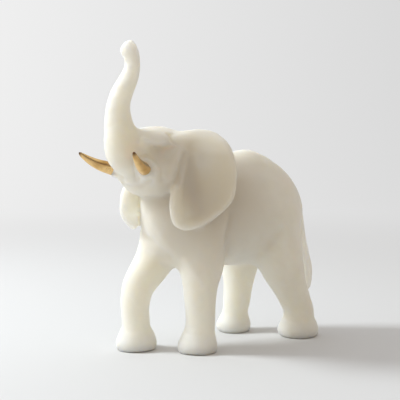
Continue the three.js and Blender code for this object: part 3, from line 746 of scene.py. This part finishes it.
# %% Quartz polish
POLISH_SHARP, POLISH_DULL = 0.42, 0.56
grain = node(tree, "ShaderNodeTexNoise", Scale=900.0, Detail=3.0, Roughness=0.6)
wave = node(tree, "ShaderNodeTexNoise", Scale=120.0, Detail=2.0, Roughness=0.5)
both = node(tree, "ShaderNodeMix", data_type="FLOAT")
both.inputs[0].default_value = 0.6
bump = node(tree, "ShaderNodeBump", Strength=0.12, Distance=0.0006)
polish = ranged(tree, 0, 1, POLISH_SHARP, POLISH_DULL, smooth=False)
join(tree,
     (where.outputs["Object"], grain.inputs["Vector"]),
     (where.outputs["Object"], wave.inputs["Vector"]),
     (grain.outputs["Fac"], both.inputs[2]),
     (wave.outputs["Fac"], both.inputs[3]),
     (both.outputs[0], bump.inputs["Height"]),
     (bump.outputs["Normal"], surface.inputs["Normal"]),
     (wave.outputs["Fac"], polish.inputs["Value"]),
     (polish.outputs["Result"], surface.inputs["Roughness"]))
stone.data.materials.append(quartz)
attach(stone, "root")
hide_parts("elephant_body")
print("quartz on", stone.name)

# %% [markdown]
# A tusk is a small horn of cast and polished gold-coloured metal. It is drawn out by hand from a
# ring: extruded a step at a time along its axis, narrowed and let sag a little. Starting from a ring
# is better than from a cone, because each station, a distance along and a radius, keeps its own
# girth.

# %% The tusk's line
TUSK_LENGTH = float(np.linalg.norm(TUSK_TIP - TUSK_BASE))
TUSK_SINK = 8.6
TUSK_SAG = 2.2
STATIONS = [(-TUSK_SINK, 4.6), (-3, 4.85), (1, 4.85), (4, 4.55), (8, 4.1), (12, 3.6), (16, 3.1),
            (20, 2.6), (24, 2.05), (27, 1.6), (TUSK_LENGTH - 0.4, 0.8)]
print("tusk", round(TUSK_LENGTH, 1), "mm long,", len(STATIONS), "stations")

# %% Drawing out a tusk
TIP_ROUND = 0.35


def clamp(value):
    """The value, kept between 0 and 1."""
    return min(max(value, 0), 1)


def sag_at(along):
    """How far the horn's line has dropped from the straight one, in millimetres."""
    t = clamp(along / TUSK_LENGTH)
    return -TUSK_SAG * 4 * t * (1 - t)


def draw_horn(name):
    """A horn along +Z from its root, in metres, with its top towards +Y."""
    first, girth = STATIONS[0]
    choose_none()
    bpy.ops.mesh.primitive_circle_add(vertices=24, radius=girth * MM, fill_type="NGON",
                                      location=(0, sag_at(first) * MM, first * MM))
    horn = bpy.context.object
    horn.name = name
    bpy.ops.object.mode_set(mode="EDIT")
    bpy.ops.mesh.select_all(action="SELECT")
    for (low, old), (high, new) in zip(STATIONS, STATIONS[1:]):
        rise = sag_at(high) - sag_at(low)
        bpy.ops.mesh.extrude_region_move(
            TRANSFORM_OT_translate={"value": (0, rise * MM, (high - low) * MM)})
        bpy.ops.transform.resize(value=(new / old, new / old, 1),
                                 center_override=(0, sag_at(high) * MM, high * MM))
    bpy.ops.mesh.inset(thickness=TIP_ROUND * MM)
    bpy.ops.transform.translate(value=(0, 0, TIP_ROUND * MM))
    bpy.ops.mesh.select_all(action="SELECT")
    bpy.ops.mesh.normals_make_consistent(inside=False)
    bpy.ops.object.mode_set(mode="OBJECT")
    bpy.ops.object.transform_apply(location=True, rotation=True, scale=True)
    return horn


left = draw_horn("left_horn")
print("horn", len(left.data.polygons), "faces, box", [round(d / MM, 1) for d in left.dimensions])

# %% [markdown]
# The casting was filed along its top, which left a ridge with a groove on each side. A dark brown is
# painted along the grooves and a little down their outer sides: partly dirt in the grooves, partly
# painted shade beside the ridge and a painted dark reflection. It also darkens towards the tip. A
# point attribute keeps it for the material, because it follows the shape. Turns round the horn are
# in radians from its top.

# %% The filed ridge
RIDGE_HEIGHT, RIDGE_WIDTH = 1.0, 0.42
GROOVE_DEPTH, GROOVE_TURN, GROOVE_WIDTH = 0.7, 0.85, 0.27
# The dark band is partly dirt in the grooves and partly painted shade and painted reflection beside
# the ridge.
DIRT_AND_SHADE_SHARE, DIRT_AND_SHADE_TURN, DIRT_AND_SHADE_WIDTH = 0.85, 0.97, 0.38
DARKENED_TIP = 3.6


def file_ridge(horn):
    """Rounds the horn, raises its ridge, cuts its grooves and marks where dirt and painted shade go.
    """
    choose(horn)
    finer = horn.modifiers.new("finer", "SUBSURF")
    finer.levels = 2
    finer.render_levels = 2
    bpy.ops.object.modifier_apply(modifier="finer")
    dirt_and_shade = horn.data.attributes.new("dirt_and_shade", "FLOAT", "POINT")
    for point in horn.data.vertices:
        along = point.co.z / MM
        x, y = point.co.x / MM, point.co.y / MM - sag_at(along)
        girth = max(math.hypot(x, y), 0.01)
        turn = math.atan2(x, y)
        filed = clamp((TUSK_LENGTH - along) / 8) * clamp((along + 4) / 5)
        grow = (RIDGE_HEIGHT * band(turn, 0, RIDGE_WIDTH)
                - GROOVE_DEPTH * band(abs(turn), GROOVE_TURN, GROOVE_WIDTH))
        grow *= filed * min(girth / 4, 1)
        # Dirt and painted shade along the grooves' outer sides, and a darkening towards the tip.
        dark_band = DIRT_AND_SHADE_SHARE * band(abs(turn), DIRT_AND_SHADE_TURN, DIRT_AND_SHADE_WIDTH) * min(filed * 3, 1)
        dirt_and_shade.data[point.index].value = max(dark_band, clamp((along - TUSK_LENGTH + DARKENED_TIP) / 3))
        point.co.x += x / girth * grow * MM
        point.co.y += y / girth * grow * MM
    bpy.ops.object.shade_smooth()


file_ridge(left)
print("ridge filed on", left.name, len(left.data.polygons), "faces")

# %% [markdown]
# The second horn is drawn like the first, and each is turned from its own axis to its cheek. The
# finished meshes keep their place in their points, so the objects stay at the origin.

# %% Setting the tusks
above = np.cross(np.cross(tusk_way, UP), tusk_way)
above /= np.linalg.norm(above)


def set_tusk(horn, side):
    """Turns a horn to its place in the cheek. The side is 1 for left and -1 for right."""
    way = head_turn @ (tusk_way * (side, 1, 1))
    up = head_turn @ (above * (side, 1, 1))
    turn = Matrix((np.cross(up, way), up, way)).transposed().to_4x4()
    choose(horn)
    horn.matrix_world = Matrix.Translation(place(*on_tusk(0, side))) @ turn
    bpy.ops.object.transform_apply(location=True, rotation=True, scale=True)


right = draw_horn("right_horn")
file_ridge(right)
tusks = {"left_tusk": left, "right_tusk": right}
set_tusk(left, 1)
set_tusk(right, -1)

# %% [markdown]
# The metal is polished but old. A stretched noise changes its colour and its shine along the horn,
# and the dark brown of dirt and painted shade is laid over that.

# %% Gold
OLD_GOLD, BRIGHT_GOLD = (0.55, 0.33, 0.12, 1), (0.80, 0.55, 0.25, 1)
# Dirt and painted shade: the dark brown laid along the grooves and at the tip.
DIRT_AND_SHADE_BROWN = (0.12, 0.058, 0.025, 1)
SHINE_DULL, SHINE_SHARP = 0.38, 0.2
gold = bpy.data.materials.new("old_gold")
gold.use_nodes = True
tree = gold.node_tree
metal = tree.nodes["Principled BSDF"]
metal.inputs["Metallic"].default_value = 1.0
where = node(tree, "ShaderNodeTexCoord")
stretch = node(tree, "ShaderNodeMapping")
stretch.inputs["Scale"].default_value = (1.0, 0.25, 0.8)
streak = node(tree, "ShaderNodeTexNoise", Scale=130.0, Detail=2.0, Roughness=0.5, Distortion=0.2)
tarnish = ramp(tree, 0.3, OLD_GOLD, 0.46, BRIGHT_GOLD)
shine = ranged(tree, 0, 1, SHINE_DULL, SHINE_SHARP, smooth=False)
dirt_and_shade = node(tree, "ShaderNodeAttribute", attribute_name="dirt_and_shade")
darkened = node(tree, "ShaderNodeMix", data_type="RGBA")
darkened.inputs[7].default_value = DIRT_AND_SHADE_BROWN
join(tree,
     (where.outputs["Object"], stretch.inputs["Vector"]),
     (stretch.outputs["Vector"], streak.inputs["Vector"]),
     (streak.outputs["Fac"], tarnish.inputs["Fac"]),
     (dirt_and_shade.outputs["Fac"], darkened.inputs[0]),
     (tarnish.outputs["Color"], darkened.inputs[6]),
     (darkened.outputs[2], metal.inputs["Base Color"]),
     (streak.outputs["Fac"], shine.inputs["Value"]),
     (shine.outputs["Result"], metal.inputs["Roughness"]))
for name, horn in tusks.items():
    horn.data.materials.append(gold)
    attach(horn, "root")
    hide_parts(name)
print("gold on", sorted(h.name for h in tusks.values()))
